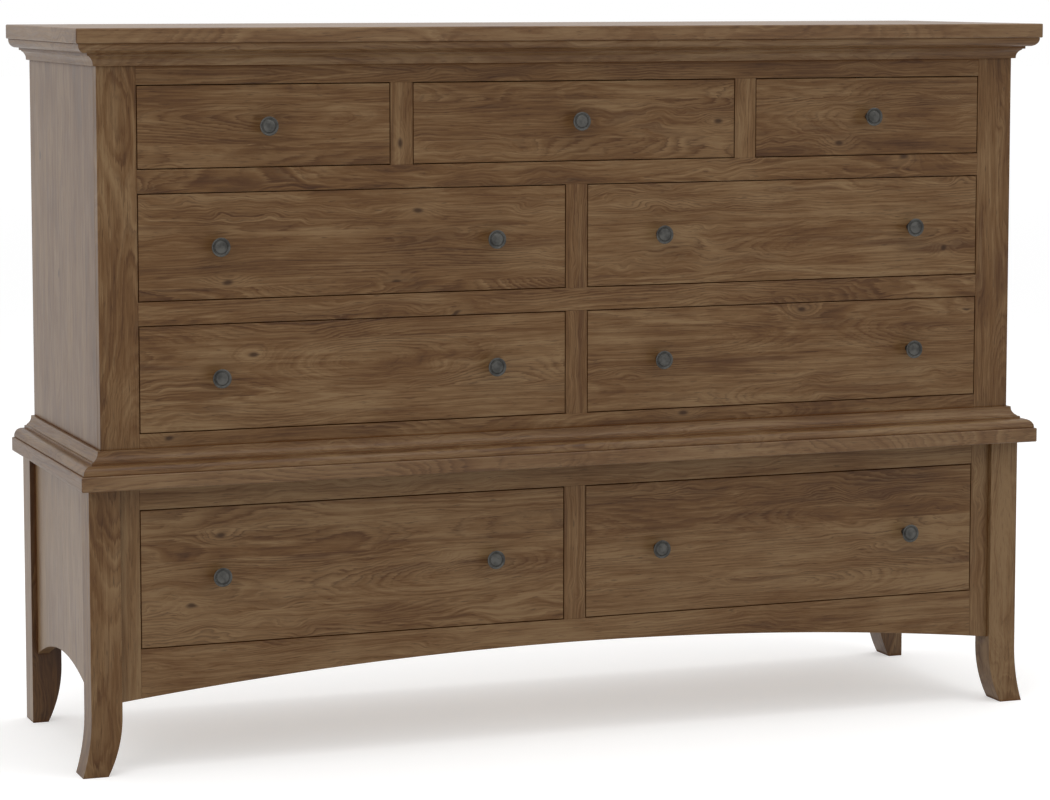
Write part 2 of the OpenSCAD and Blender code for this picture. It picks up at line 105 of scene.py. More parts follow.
# rustic cherry, flat sawn, stained walnut brown and sprayed with satin lacquer: straight fine streaks with cathedrals
# in the middle of each board, small knots and gum flecks, and a low sheen that greys it at a shallow angle
stainedCherry = {
    "patterns": {  # length along the grain, width across it, noise detail and roughness
        "streak": (380 * mm, 10 * mm, 3, 0.6),
        "fibre": (55 * mm, 2.4 * mm, 3, 0.6),  # real fibres are finer, drawn this coarse so that they show
        "fleck": (22 * mm, 2.2 * mm, 1.5, 0.5),  # gum flecks, 5 to 15 mm long in cherry
        "blotch": (170 * mm, 50 * mm, 3, 0.55),  # where the stain took more or less
        "ripple": (40 * mm, 9 * mm, 3, 0.6),  # small hooks in the rings
        "figure": (300 * mm, 42 * mm, 2, 0.5),  # stretches where the rings show strongly
        "gumStreak": (280 * mm, 24 * mm, 2.5, 0.5),  # long dark streaks
    },
    # slow bends of the grain, then its small hooks: length and width of one, how far it pushes along and across
    "bends": [((600 * mm, 140 * mm), (40 * mm, 12 * mm)), ((75 * mm, 20 * mm), (6 * mm, 1.6 * mm))],
    # swirls, as round a branch: length and width of a field of them and of one swirl, and its push along and across
    "swirlField": (260 * mm, 85 * mm),
    "swirlSize": (75 * mm, 34 * mm),
    "swirl": (80 * mm, 46 * mm, 0),
    "swirlFrom": (0.47, 0.63),  # lower numbers give more fields of swirls
    "straight": ["streak", "fibre", "fleck"],  # what keeps nearer to the board's length where the rings swirl
    "swirlShare": 0.45,  # of the rings' swirl, in those
    "shares": {"years": 0.22, "streak": 0.26, "fibre": 0.22, "blotch": 0.30},  # in the ground colour, adding up to 1
    "staveShare": 0.06,  # and the tone of each stave on top
    "contrast": (0.375, 0.625),  # a lower pair gives a paler board, a wider one a plainer board
    "ringStrength": 0.62,
    "ringSpacing": 3.8 * mm,  # flat-sawn growth rings, 3 to 6 mm apart on the photographed fronts
    # tone over one ring: late wood comes on slowly as a dark line and ends sharply, and pale early wood follows
    "lateWood": [(0.0, 0.1), (0.35, 0.0), (0.72, 0.4), (0.87, 1.0), (0.96, 0.35), (1.0, 0.1)],
    "earlyWood": [(0.0, 0.25), (0.12, 0.6), (0.3, 0.3), (0.5, 0.0), (0.97, 0.0)],
    "yearScale": 0.8,  # good and bad years, per ring
    "hooked": 1.1,  # how far the ripples push the rings, in rings
    "feather": 1.0,  # how far the fibres fray them
    "figureFrom": (0.44, 0.66),  # from faint rings to clear ones
    "faintRings": 0.03,
    "plankWidth": 92 * mm,  # from the middle of one cathedral to the next
    "heartDepth": 26 * mm,  # how far under the face the heart of the tree lies
    "heartWander": 330 * mm,  # how strongly that depth changes
    "heartField": (900 * mm, 300 * mm),  # over which length and width
    "knotCell": 210 * mm,  # one small knot in a field about this wide, and twice as long
    "knotSize": 2.6 * mm,
    "knotCore": (0.5, 2.4, 0.85),  # where its dark core begins to fade and ends, in knot sizes, and its strength
    "knotHalo": (0.13, 0.35, 3.0),  # reach, in cells, strength, and how far it pushes the rings, in rings
    "gumMark": (0.60, 0.74, 0.55),  # noise from which it shows and at which it is full, and its strength
    "fleckMark": (0.62, 0.76, 0.5),
    "dark": "#3F2613",
    "middle": "#624528",
    "light": "#7E6446",
    "gum": "#442915",
    "knot": "#2E1A0B",
    "lacquerIor": 1.45,
    "roughness": 0.38,
    "roughnessSpread": (-0.05, 0.07),
    "sheen": 0.22,  # specular level: the stain under the lacquer is dull
    "relief": 0.05 * mm,
    "reliefStrength": 0.35,
    "corner": "#5F3619",  # painted shade: ambient occlusion darkens the colour towards this one in inner corners, creases and gaps, and takes the sheen away there
    "paintedShadeReach": 9 * mm,
    "paintedShadeStrength": 0.8,
    "paintedShadeOpen": (0.25, 0.85),  # openness at which that stain is thickest, and at which it ends
    "sheenOpen": (0.4, 0.9),  # and at which the sheen begins, and is full
}


noiseLow, noiseHigh = 0.3, 0.7  # most of a noise lies between these
cornerSamples = 6  # rays that look for a corner
columnStep = 17.3  # in the staves' seeds, so that no two of them are the same
treeSize = (7, 5, 3)  # metres of pattern that the staves are cut from


def woodMaterial(name, look, grain, width, shift, staves=None, turned=None):
    # grain and width are the axes that the board's length and width lie along, shift is the place in the tree that it
    # is cut from, staves says how a glued-up panel is made of narrower boards, and turned is a test for pieces of the
    # node whose grain lies another way
    material, tree = newMaterial(name)
    place = addNode(tree, "ShaderNodeTexCoord", {}).outputs["Object"]
    boards = []
    for along, across in [(grain, width)] + ([turned["axes"]] if turned else []):
        along, across = Vector(along), Vector(across)
        turn = Matrix((along, across, along.cross(across))).to_euler()
        boards.append(addNode(tree, "ShaderNodeMapping", {"Rotation": turn, "Location": shift},
                              {"Vector": place}).outputs[0])
    board = boards[0]
    if turned:
        # second direction where the weighted sum of |x| and y passes the limit
        split = addNode(tree, "ShaderNodeSeparateXYZ", {}, {"Vector": place})
        fromMiddle = addNode(tree, "ShaderNodeMath", {"operation": "ABSOLUTE"}, {0: split.outputs["X"]}).outputs[0]
        total = addNode(tree, "ShaderNodeMath", {"operation": "MULTIPLY_ADD", 1: turned["x"]},
                        {0: fromMiddle, 2: split.outputs["Y"]}).outputs[0]
        past = addNode(tree, "ShaderNodeMath", {"operation": "GREATER_THAN", 1: turned["limit"]},
                       {0: total}).outputs[0]
        board = addNode(tree, "ShaderNodeMix", {"data_type": "VECTOR"},
                        {0: past, 4: boards[0], 5: boards[1]}).outputs[1]
    shares = dict(look["shares"])
    found = {}
    if staves:
        # each stave is cut from another part of the tree, and is a little lighter or darker than the next
        split = addNode(tree, "ShaderNodeSeparateXYZ", {}, {"Vector": board})
        rowPlace = addNode(tree, "ShaderNodeMath", {"operation": "DIVIDE", 1: staves["width"]},
                           {0: split.outputs["Y"]}).outputs[0]
        row = addNode(tree, "ShaderNodeMath", {"operation": "FLOOR"}, {0: rowPlace}).outputs[0]
        perMetre = 1 / staves["length"]
        start = staves["start"] - shift[0] * perMetre
        columnPlace = addNode(tree, "ShaderNodeMath", {"operation": "MULTIPLY_ADD", 1: perMetre, 2: start},
                              {0: split.outputs["X"]}).outputs[0]
        column = addNode(tree, "ShaderNodeMath", {"operation": "FLOOR"}, {0: columnPlace}).outputs[0]
        seed = addNode(tree, "ShaderNodeMath", {"operation": "MULTIPLY_ADD", 1: columnStep},
                       {0: column, 2: row}).outputs[0]
        chance = addNode(tree, "ShaderNodeTexWhiteNoise", {"noise_dimensions": "1D"}, {"W": seed})
        found["stave"] = chance.outputs["Value"]
        shares["stave"] = look["staveShare"]
        board = addNode(tree, "ShaderNodeVectorMath", {"operation": "MULTIPLY_ADD", 1: treeSize},
                        {0: chance.outputs["Color"], 2: board}).outputs[0]

    # the grain wanders slowly, hooks a little here and there, and swirls in some places as it does round a branch
    bent = board
    for (length, breadth), (pushAlong, pushAcross) in look["bends"]:
        size = (1 / length, 1 / breadth, 1 / breadth)
        stretched = addNode(tree, "ShaderNodeVectorMath", {"operation": "MULTIPLY", 1: size},
                            {0: board}).outputs[0]
        wander = addNode(tree, "ShaderNodeTexNoise", {"Scale": 1, "Detail": 2, "Roughness": 0.5},
                         {"Vector": stretched}).outputs["Color"]
        push = (pushAlong, pushAcross, pushAcross)
        bent = addNode(tree, "ShaderNodeVectorMath", {"operation": "MULTIPLY_ADD", 1: push},
                       {0: wander, 2: bent}).outputs[0]

    swirls = []
    for (length, breadth), detail, output in [(look["swirlField"], 1, "Fac"), (look["swirlSize"], 1.5, "Color")]:
        size = (1 / length, 1 / breadth, 1 / breadth)
        stretched = addNode(tree, "ShaderNodeVectorMath", {"operation": "MULTIPLY", 1: size},
                            {0: board}).outputs[0]
        swirls.append(addNode(tree, "ShaderNodeTexNoise", {"Scale": 1, "Detail": detail},
                              {"Vector": stretched}).outputs[output])
    begins, full = look["swirlFrom"]
    zone = addNode(tree, "ShaderNodeMapRange",
                   {"interpolation_type": "SMOOTHSTEP", "From Min": begins, "From Max": full},
                   {"Value": swirls[0]}).outputs[0]
    centred = [-push / 2 for push in look["swirl"]]
    swirl = addNode(tree, "ShaderNodeVectorMath", {"operation": "MULTIPLY_ADD", 1: look["swirl"], 2: centred},
                    {0: swirls[1]}).outputs[0]
    swirl = addNode(tree, "ShaderNodeVectorMath", {"operation": "SCALE"}, {0: swirl, "Scale": zone}).outputs[0]
    # fibres swirl less than the rings
    straight = addNode(tree, "ShaderNodeVectorMath", {"operation": "MULTIPLY_ADD", 1: [look["swirlShare"]] * 3},
                       {0: swirl, 2: bent}).outputs[0]
    bent = addNode(tree, "ShaderNodeVectorMath", {"operation": "ADD"}, {0: bent, 1: swirl}).outputs[0]

    for key, (length, breadth, detail, rough) in look["patterns"].items():
        size = (1 / length, 1 / breadth, 1 / breadth)
        stretched = addNode(tree, "ShaderNodeVectorMath", {"operation": "MULTIPLY", 1: size},
                            {0: straight if key in look["straight"] else bent}).outputs[0]
        found[key] = addNode(tree, "ShaderNodeTexNoise", {"Scale": 1, "Detail": detail, "Roughness": rough},
                             {"Vector": stretched}).outputs[0]

    # knots run through the board, so they lie in its face, and the rings bend round them
    haloReach, haloStrength, haloPush = look["knotHalo"]
    cell = look["knotCell"]
    knotSpace = addNode(tree, "ShaderNodeVectorMath", {"operation": "MULTIPLY", 1: (0.5 / cell, 1 / cell, 0)},
                        {0: bent}).outputs[0]
    knotGap = addNode(tree, "ShaderNodeTexVoronoi", {"voronoi_dimensions": "2D", "Scale": 1, "Randomness": 1},
                      {"Vector": knotSpace}).outputs["Distance"]
    near = addNode(tree, "ShaderNodeMapRange",
                   {"interpolation_type": "SMOOTHERSTEP", "From Min": 0, "From Max": haloReach,
                    "To Min": 1, "To Max": 0},
                   {"Value": knotGap}).outputs[0]

    # rings are circles round the heart of the tree, cut by the face of the board: straight lines at the sides of each
    # plank, and cathedrals in its middle where the heart comes nearer or goes deeper
    across = addNode(tree, "ShaderNodeSeparateXYZ", {}, {"Vector": bent}).outputs["Y"]
    fromSide = addNode(tree, "ShaderNodeMath", {"operation": "PINGPONG", 1: look["plankWidth"] / 2},
                       {0: across}).outputs[0]
    sideSquared = addNode(tree, "ShaderNodeMath", {"operation": "POWER", 1: 2}, {0: fromSide}).outputs[0]
    length, breadth = look["heartField"]
    size = (1 / length, 1 / breadth, 1 / breadth)
    heartSpace = addNode(tree, "ShaderNodeVectorMath", {"operation": "MULTIPLY", 1: size}, {0: bent}).outputs[0]
    heartNoise = addNode(tree, "ShaderNodeTexNoise", {"Scale": 1, "Detail": 2, "Roughness": 0.4},
                         {"Vector": heartSpace}).outputs[0]
    shallowest = look["heartDepth"] - look["heartWander"] / 2
    heart = addNode(tree, "ShaderNodeMath", {"operation": "MULTIPLY_ADD", 1: look["heartWander"], 2: shallowest},
                    {0: heartNoise}).outputs[0]
    radiusSquared = addNode(tree, "ShaderNodeMath", {"operation": "MULTIPLY_ADD"},
                            {0: heart, 1: heart, 2: sideSquared}).outputs[0]
    radius = addNode(tree, "ShaderNodeMath", {"operation": "SQRT"}, {0: radiusSquared}).outputs[0]
    rings = addNode(tree, "ShaderNodeMath", {"operation": "DIVIDE", 1: look["ringSpacing"]}, {0: radius}).outputs[0]
    for push, source in [(look["hooked"], found["ripple"]), (look["feather"], found["fibre"]), (haloPush, near)]:
        rings = addNode(tree, "ShaderNodeMath", {"operation": "MULTIPLY_ADD", 1: push},
                        {0: source, 2: rings}).outputs[0]
    ringPlace = addNode(tree, "ShaderNodeMath", {"operation": "FRACT"}, {0: rings}).outputs[0]
    lateWood = addNode(tree, "ShaderNodeValToRGB", {"stops": look["lateWood"]}, {0: ringPlace}).outputs[0]
    earlyWood = addNode(tree, "ShaderNodeValToRGB", {"stops": look["earlyWood"]}, {0: ringPlace}).outputs[0]
    # every few rings grew in a good or a bad year, so the colour runs in uneven bands along the figure
    found["years"] = addNode(tree, "ShaderNodeTexNoise",
                             {"noise_dimensions": "1D", "Scale": look["yearScale"], "Detail": 3, "Roughness": 0.6},
                             {"W": rings}).outputs[0]

    ground = None
    for key, share in shares.items():
        ground = addNode(tree, "ShaderNodeMath", {"operation": "MULTIPLY_ADD", 1: share, 2: 0},
                         {0: found[key], **({2: ground} if ground else {})}).outputs[0]
    ground = addNode(tree, "ShaderNodeMapRange", {"From Min": look["contrast"][0], "From Max": look["contrast"][1]},
                     {"Value": ground}).outputs[0]
    colour = addNode(tree, "ShaderNodeValToRGB",
                     {"stops": [(0.0, look["dark"]), (0.5, look["middle"]), (1.0, look["light"])]},
                     {0: ground}).outputs[0]
    strength = addNode(tree, "ShaderNodeMapRange",
                       {"From Min": look["figureFrom"][0], "From Max": look["figureFrom"][1],
                        "To Min": look["faintRings"], "To Max": look["ringStrength"]},
                       {"Value": found["figure"]}).outputs[0]
    ringMark = addNode(tree, "ShaderNodeMath", {"operation": "MULTIPLY"}, {0: lateWood, 1: strength}).outputs[0]
    paleMark = addNode(tree, "ShaderNodeMath", {"operation": "MULTIPLY"}, {0: earlyWood, 1: strength}).outputs[0]
    begins, full, most = look["gumMark"]
    gumMark = addNode(tree, "ShaderNodeMapRange",
                      {"interpolation_type": "SMOOTHSTEP", "From Min": begins, "From Max": full,
                       "To Min": 0, "To Max": most},
                      {"Value": found["gumStreak"]}).outputs[0]
    begins, full, most = look["fleckMark"]
    fleckMark = addNode(tree, "ShaderNodeMapRange",
                        {"From Min": begins, "From Max": full, "To Min": 0, "To Max": most},
                        {"Value": found["fleck"]}).outputs[0]
    haloMark = addNode(tree, "ShaderNodeMath", {"operation": "MULTIPLY", 1: haloStrength}, {0: near}).outputs[0]
    fades, ends, most = look["knotCore"]
    coreMark = addNode(tree, "ShaderNodeMapRange",
                       {"interpolation_type": "SMOOTHSTEP", "From Min": fades * look["knotSize"] / cell,
                        "From Max": ends * look["knotSize"] / cell, "To Min": most, "To Max": 0},
                       {"Value": knotGap}).outputs[0]
    for mark, tint in [(haloMark, "light"), (ringMark, "dark"), (paleMark, "light"), (gumMark, "gum"),
                       (fleckMark, "knot"), (coreMark, "knot")]:
        colour = addNode(tree, "ShaderNodeMix", {"data_type": "RGBA", 7: hexColour(look[tint])},
                         {0: mark, 6: colour}).outputs[2]

    # painted shade: the colour is darkened and the sheen taken away wherever ambient occlusion finds a corner, crease
    # or gap
    openness = addNode(tree, "ShaderNodeAmbientOcclusion",
                       {"samples": cornerSamples, "Distance": look["paintedShadeReach"]}).outputs["AO"]
    paintedShadeMark = addNode(tree, "ShaderNodeMapRange",
                         {"From Min": look["paintedShadeOpen"][0], "From Max": look["paintedShadeOpen"][1],
                          "To Min": look["paintedShadeStrength"], "To Max": 0},
                         {"Value": openness}).outputs[0]
    colour = addNode(tree, "ShaderNodeMix", {"data_type": "RGBA", 7: hexColour(look["corner"])},
                     {0: paintedShadeMark, 6: colour}).outputs[2]
    begins, full = look["sheenOpen"]
    sheen = addNode(tree, "ShaderNodeMapRange",
                    {"From Min": begins, "From Max": full, "To Min": 0, "To Max": look["sheen"]},
                    {"Value": openness}).outputs[0]

    height = addNode(tree, "ShaderNodeMath", {"operation": "SUBTRACT"}, {0: found["fibre"], 1: fleckMark}).outputs[0]
    bump = addNode(tree, "ShaderNodeBump", {"Strength": look["reliefStrength"], "Distance": look["relief"]},
                   {"Height": height}).outputs[0]
    smoother, rougher = look["roughnessSpread"]
    rough = addNode(tree, "ShaderNodeMapRange",
                    {"From Min": noiseLow, "From Max": noiseHigh, "To Min": look["roughness"] + smoother,
                     "To Max": look["roughness"] + rougher},
                    {"Value": found["fibre"]}).outputs[0]
    shader = addNode(tree, "ShaderNodeBsdfPrincipled",
                     {"IOR": look["lacquerIor"], "Specular IOR Level": look["sheen"]},
                     {"Base Color": colour, "Roughness": rough, "Normal": bump, "Specular IOR Level": sheen})
    addNode(tree, "ShaderNodeOutputMaterial", {}, {"Surface": shader.outputs[0]})
    return material


paleCherry = {**stainedCherry, "contrast": (0.325, 0.595), "ringStrength": 0.45}
palestCherry = {**stainedCherry, "contrast": (0.285, 0.555), "ringStrength": 0.4}
# painted shade: a darker copy of the stained cherry for the rear left leg, which stands in the case's shade; the rear
# right leg, in the light, keeps the plain wood
paintedShadeCherry = {**stainedCherry, "contrast": (0.45, 0.71), "sheen": 0.34}
# narrow uprights, with the painted shade in their corners kept to a thin, faint band
openCherry = {**stainedCherry, "paintedShadeReach": 3 * mm, "paintedShadeStrength": 0.3}
# plainer boards, kept for the sides
plainCherry = {
    **stainedCherry,
    "shares": {"years": 0.14, "streak": 0.26, "fibre": 0.08, "blotch": 0.52},
    "contrast": (0.25, 0.70), "ringStrength": 0.12, "knotCell": 420 * mm, "relief": 0.02 * mm, "sheen": 0.36,
}

xAxis, yAxis, zAxis = (1, 0, 0), (0, 1, 0), (0, 0, 1)
caseX, caseY = 811 * mm, -220.5 * mm  # faces of the upper case, where the mouldings' mitres start
lippedX = 849 * mm  # ends of the two boards, lipped with a strip whose grain runs front to back
# glued-up panels: width and length of a stave, and where its ends fall, in lengths
topRowStaves = {"width": 64 * mm, "length": 610 * mm, "start": 0.5}
frontStaves = {"width": 88 * mm, "length": 1700 * mm, "start": 0}
sideStaves = {"width": 90 * mm, "length": 4000 * mm, "start": 0.2}
boardStaves = {"width": 104 * mm, "length": 4000 * mm, "start": 0.5}
endWeight = 1000  # makes the test for the lippings read x alone

woods = {
    "topFront": woodMaterial("stainedCherryTopRowFront", {**stainedCherry, "contrast": (0.39, 0.64)}, xAxis, zAxis,
                             (0.6, 0.015, 0.2), staves=topRowStaves),
    "drawerFront": woodMaterial("stainedCherryDrawerFront", {**stainedCherry, "contrast": (0.365, 0.615)},
                                xAxis, zAxis, (0.3, 0.012, 0), staves=frontStaves),
    "thirdFront": woodMaterial("stainedCherryThirdRowFront", {**stainedCherry, "contrast": (0.385, 0.635)},
                               xAxis, zAxis, (0.3, 0.012, 0), staves=frontStaves),
    "rail": woodMaterial("stainedCherryRail", stainedCherry, xAxis, zAxis, (5.3, 0.02, 0.1)),
    "apron": woodMaterial("stainedCherryApron", {**paleCherry, "contrast": (0.312, 0.582)}, xAxis, zAxis,
                          (6.3, 0.4, 2.1)),
    "stile": woodMaterial("stainedCherryStile", {**openCherry, "contrast": (0.332, 0.618), "ringStrength": 0.5},
                          zAxis, xAxis, (4.4, 0.02, 0.6)),
    "lowerStile": woodMaterial("stainedCherryLowerStile",
                               {**openCherry, "contrast": (0.287, 0.573), "ringStrength": 0.4},
                               zAxis, xAxis, (4.4, 0.02, 0.6)),
    "leftLeg": woodMaterial("stainedCherryLeftLeg", {**openCherry, "contrast": (0.32, 0.62)}, zAxis, xAxis,
                            (7.7, 1.2665, 1.6)),
    "rightLeg": woodMaterial("stainedCherryRightLeg", palestCherry, zAxis, xAxis, (3.7, 1.9, 2.6)),
    "rearLeftLeg": woodMaterial("stainedCherryRearLeftLegPaintedShade", paintedShadeCherry, zAxis, xAxis, (5.9, 1.3, 3.6)),
    "rearRightLeg": woodMaterial("stainedCherryRearRightLeg", {**stainedCherry, "sheen": 0.35}, zAxis, xAxis,
                                 (5.9, 1.3, 3.6)),
    "side": woodMaterial("stainedCherrySidePanel", plainCherry, zAxis, yAxis, (0.2, 0.04, 0.7), staves=sideStaves),
    # painted light: the lower side panels get a paler copy of the side wood, with more sheen, as they are lit more
    # from the floor
    "lowerSide": woodMaterial("stainedCherryLowerSide",
                              {**plainCherry, "contrast": (0.19, 0.64), "sheen": 0.4, "paintedShadeReach": 5 * mm},
                              zAxis, yAxis, (0.2, 0.04, 0.7), staves=sideStaves),
    "board": woodMaterial("stainedCherryTopBoard",
                          {**paleCherry, "contrast": (0.285, 0.625), "knotCell": 340 * mm, "sheen": 0.34},
                          xAxis, yAxis, (3.4, 0.03, 0.5), staves=boardStaves,
                          turned={"axes": (yAxis, zAxis), "x": endWeight, "limit": endWeight * lippedX}),
    "moulding": woodMaterial("stainedCherryMoulding", {**paleCherry, "sheen": 0.28}, xAxis, zAxis, (4.4, 0.7, 0.9),
                             turned={"axes": (yAxis, zAxis), "x": 1, "limit": caseX + caseY}),
}

# drawer boxes: soft maple, planed and clear lacquered, pale and even with faint rings
softMaple = {
    **stainedCherry,
    "ringSpacing": 5 * mm, "knotCell": 1200 * mm, "knotSize": 2 * mm, "sheen": 0.5,
    "dark": "#B38E62", "middle": "#CDAE84", "light": "#DCC29B", "gum": "#B08A60", "knot": "#8A6238",
    # painted shade in corners, fainter on the pale maple
    "roughness": 0.46, "corner": "#8A6238", "paintedShadeStrength": 0.35,
}
# drawer bottoms: birch plywood, rotary-cut face veneer, broad soft waves
birchPly = {
    **softMaple,
    "ringSpacing": 12 * mm, "plankWidth": 260 * mm,
    "dark": "#A98458", "middle": "#BF9C70", "light": "#CDAE84", "gum": "#A98458", "roughness": 0.5,
}
# back panels: the same plywood, stained with the case
stainedPly = {
    **birchPly,
    "dark": "#5C432D", "middle": "#6F543A", "light": "#7C6146", "gum": "#5C432D", "knot": "#3B2817",
    # the case's painted corner shade colour
    "corner": stainedCherry["corner"], "sheen": 0.3,
}
boxEndY = 212 * mm  # front face of the drawer backs, where the grain turns to run across
woods["drawerBox"] = woodMaterial("softMapleDrawerBox", softMaple, yAxis, zAxis, (0.4, 0.2, 0.3),
                                  turned={"axes": (xAxis, zAxis), "x": 0, "limit": boxEndY})
woods["runner"] = woodMaterial("softMapleRunner", softMaple, yAxis, xAxis, (1.4, 1.2, 2.3))
woods["rearRail"] = woodMaterial("softMapleRearRail", softMaple, xAxis, zAxis, (2.4, 0.7, 1.3))
woods["drawerBottom"] = woodMaterial("birchPlywoodBottom", birchPly, xAxis, yAxis, (0.7, 1.1, 0.3))
woods["backPanel"] = woodMaterial("stainedPlywoodBack", stainedPly, zAxis, xAxis, (5.1, 0.9, 0.2))

print("dresser: woods made,", len(woods))


# cast pewter with a dark patina: soft grey, slightly uneven from the mould, brighter where fingers rub it
patinatedPewter = {
    "patina": "#3E3D3B",
    "rubbed": "#545350",
    "stainFrom": (0.38, 0.62),
    "stainSize": 14 * mm,
    "groove": "#161412",  # dark patina in the grooves, and painted shade on the foot and neck, close under the head and near the drawer front
    "grooveWidth": 7 * mm,
    "grooveOpen": (0.45, 0.95),  # openness at which it is darkest, and at which it ends
    "grooveStrength": 0.9,
    "castGrain": 0.7 * mm,
    "castDepth": 0.1 * mm,
    "castStrength": 0.3,
    "roughness": 0.44,
    "roughnessSpread": (-0.08, 0.12),
}


def metalMaterial(name, look):
    material, tree = newMaterial(name)
    place = addNode(tree, "ShaderNodeTexCoord", {}).outputs["Object"]
    stain = addNode(tree, "ShaderNodeTexNoise", {"Scale": 1 / look["stainSize"], "Detail": 4, "Roughness": 0.6},
                    {"Vector": place}).outputs[0]
    colour = addNode(tree, "ShaderNodeValToRGB",
                     {"stops": [(look["stainFrom"][0], look["patina"]), (look["stainFrom"][1], look["rubbed"])]},
                     {0: stain}).outputs[0]
    # patina in the grooves and painted shade on the foot and neck, from ambient occlusion
    openness = addNode(tree, "ShaderNodeAmbientOcclusion",
                       {"samples": cornerSamples, "Distance": look["grooveWidth"]}).outputs["AO"]
    grooveShade = addNode(tree, "ShaderNodeMapRange",
                   {"From Min": look["grooveOpen"][0], "From Max": look["grooveOpen"][1],
                    "To Min": look["grooveStrength"], "To Max": 0},
                   {"Value": openness}).outputs[0]
    colour = addNode(tree, "ShaderNodeMix", {"data_type": "RGBA", 7: hexColour(look["groove"])},
                     {0: grooveShade, 6: colour}).outputs[2]
    cast = addNode(tree, "ShaderNodeTexNoise", {"Scale": 1 / look["castGrain"], "Detail": 2},
                   {"Vector": place}).outputs[0]
    smoother, rougher = look["roughnessSpread"]
    rough = addNode(tree, "ShaderNodeMapRange",
                    {"From Min": noiseLow, "From Max": noiseHigh, "To Min": look["roughness"] + smoother,
                     "To Max": look["roughness"] + rougher},
                    {"Value": stain}).outputs[0]
    bump = addNode(tree, "ShaderNodeBump", {"Strength": look["castStrength"], "Distance": look["castDepth"]},
                   {"Height": cast}).outputs[0]
    shader = addNode(tree, "ShaderNodeBsdfPrincipled", {"Metallic": 1.0},
                     {"Base Color": colour, "Roughness": rough, "Normal": bump})
    addNode(tree, "ShaderNodeOutputMaterial", {}, {"Surface": shader.outputs[0]})
    return material


pewter = metalMaterial("patinatedCastPewter", patinatedPewter)
# bright zinc, smooth from the bath
brightZinc = {**patinatedPewter, "patina": "#8C9096", "rubbed": "#B4B8BC", "groove": "#5A5D61", "roughness": 0.3}
screwSteel = metalMaterial("zincPlatedScrewSteel", brightZinc)

print("dresser: metals made")


drawers = ["row1_left", "row1_middle", "row1_right", "row2_left", "row2_right",
           "row3_left", "row3_right", "row4_left", "row4_right"]
finishes = {
    "board": ["top_board", "waist_board"],
    "moulding": ["cornice_moulding", "waist_moulding"],
    "stile": ["upper_stiles", "upper_dividers", "lower_divider"],
    "lowerStile": ["lower_stiles"],
    "rail": ["upper_rails"],
    "apron": ["front_apron", "lower_top_rail"],
    "leftLeg": ["front_leg_left"],
    "rightLeg": ["front_leg_right"],
    "rearLeftLeg": ["rear_leg_left"],
    "rearRightLeg": ["rear_leg_right"],
    "side": ["upper_side_left", "upper_side_right"],
    "lowerSide": ["lower_side_left", "lower_side_right"],
    "backPanel": ["upper_back", "lower_back"],
    "runner": ["drawer_runners", "drawer_guides"],
    "rearRail": ["rear_rails"],
    "topFront": [drawer + "_front" for drawer in drawers[:3]],
    "drawerFront": [drawer + "_front" for drawer in drawers[3:5] + drawers[7:]],
    "thirdFront": [drawer + "_front" for drawer in drawers[5:7]],
    "drawerBox": [drawer + "_box" for drawer in drawers],
    "drawerBottom": [drawer + "_bottom" for drawer in drawers],
}
curvedFinishes = ["leftLeg", "rightLeg", "rearLeftLeg", "rearRightLeg", "moulding", "apron", "lowerSide",
                  "lowerStile"]
# corners broken by sandpaper
sanding = {
    "corner": 0.7 * mm,
    "steps": 2,
    "sharpEdge": 30,  # degrees between faces, past which an edge is sanded
    "smoothEdge": 35,  # under which the faces shade as one
    "flatEdge": 0.1,  # under which they are one
    "merge": 0.01 * mm,
    "leftAsCut": ["topFront", "drawerFront", "thirdFront", "drawerBottom"],  # already chamfered, or held in grooves
    "curved": [name for finish in curvedFinishes for name in finishes[finish]],
}
# rear legs: the outer face takes the paler lower side wood, painted light for how that face is lit, against the
# darker rest of the leg: node, and its outward way in x
paintedLitOuterFaces = {"rear_leg_left": -1, "rear_leg_right": 1}
squarelyOutward = 0.9  # least share of x in the normal of an outer face


def addBevel(piece):
    bevel = piece.modifiers.new("sandedCorners", "BEVEL")
    bevel.width = sanding["corner"]
    bevel.segments = sanding["steps"]
    bevel.limit_method = "ANGLE"
    bevel.angle_limit = math.radians(sanding["sharpEdge"])


def sandedCopy(name):
    # curved pieces: the CAD mesh merged in a copy, so that the curve shades as one smooth face
    piece = bpy.data.objects.new(name + "_sanded", nodes[name].data.copy())
    bpy.context.collection.objects.link(piece)
    selectOnly(piece)
    bpy.ops.mesh.customdata_custom_splitnormals_clear()
    bpy.ops.object.mode_set(mode="EDIT")
    bpy.ops.mesh.select_all(action="SELECT")
    bpy.ops.mesh.remove_doubles(threshold=sanding["merge"])
    bpy.ops.mesh.dissolve_limited(angle_limit=math.radians(sanding["flatEdge"]))
    bpy.ops.object.mode_set(mode="OBJECT")
    addBevel(piece)
    bpy.ops.object.modifier_apply(modifier="sandedCorners")
    bpy.ops.object.shade_smooth_by_angle(angle=math.radians(sanding["smoothEdge"]))
    weighted = piece.modifiers.new("flatFacesStayFlat", "WEIGHTED_NORMAL")
    weighted.keep_sharp = True
    bpy.ops.object.modifier_apply(modifier="flatFacesStayFlat")
    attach(piece, "case")
    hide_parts(name)
    return piece


for finish, names in finishes.items():
    for name in names:
        if name in sanding["curved"]:
            piece = sandedCopy(name)
        else:
            piece = nodes[name]
            if finish not in sanding["leftAsCut"]:
                weld = piece.modifiers.new("merged", "WELD")
                weld.merge_threshold = sanding["merge"]
                addBevel(piece)
        piece.data.materials.clear()
        piece.data.materials.append(woods[finish])
        # painted light: the outer faces of the rear legs take the paler lower side wood
        if name in paintedLitOuterFaces:
            piece.data.materials.append(woods["lowerSide"])
            for face in piece.data.polygons:
                if face.normal.x * paintedLitOuterFaces[name] > squarelyOutward:
                    face.material_index = 1

print("dresser: finishes on", sum(len(names) for names in finishes.values()), "nodes")


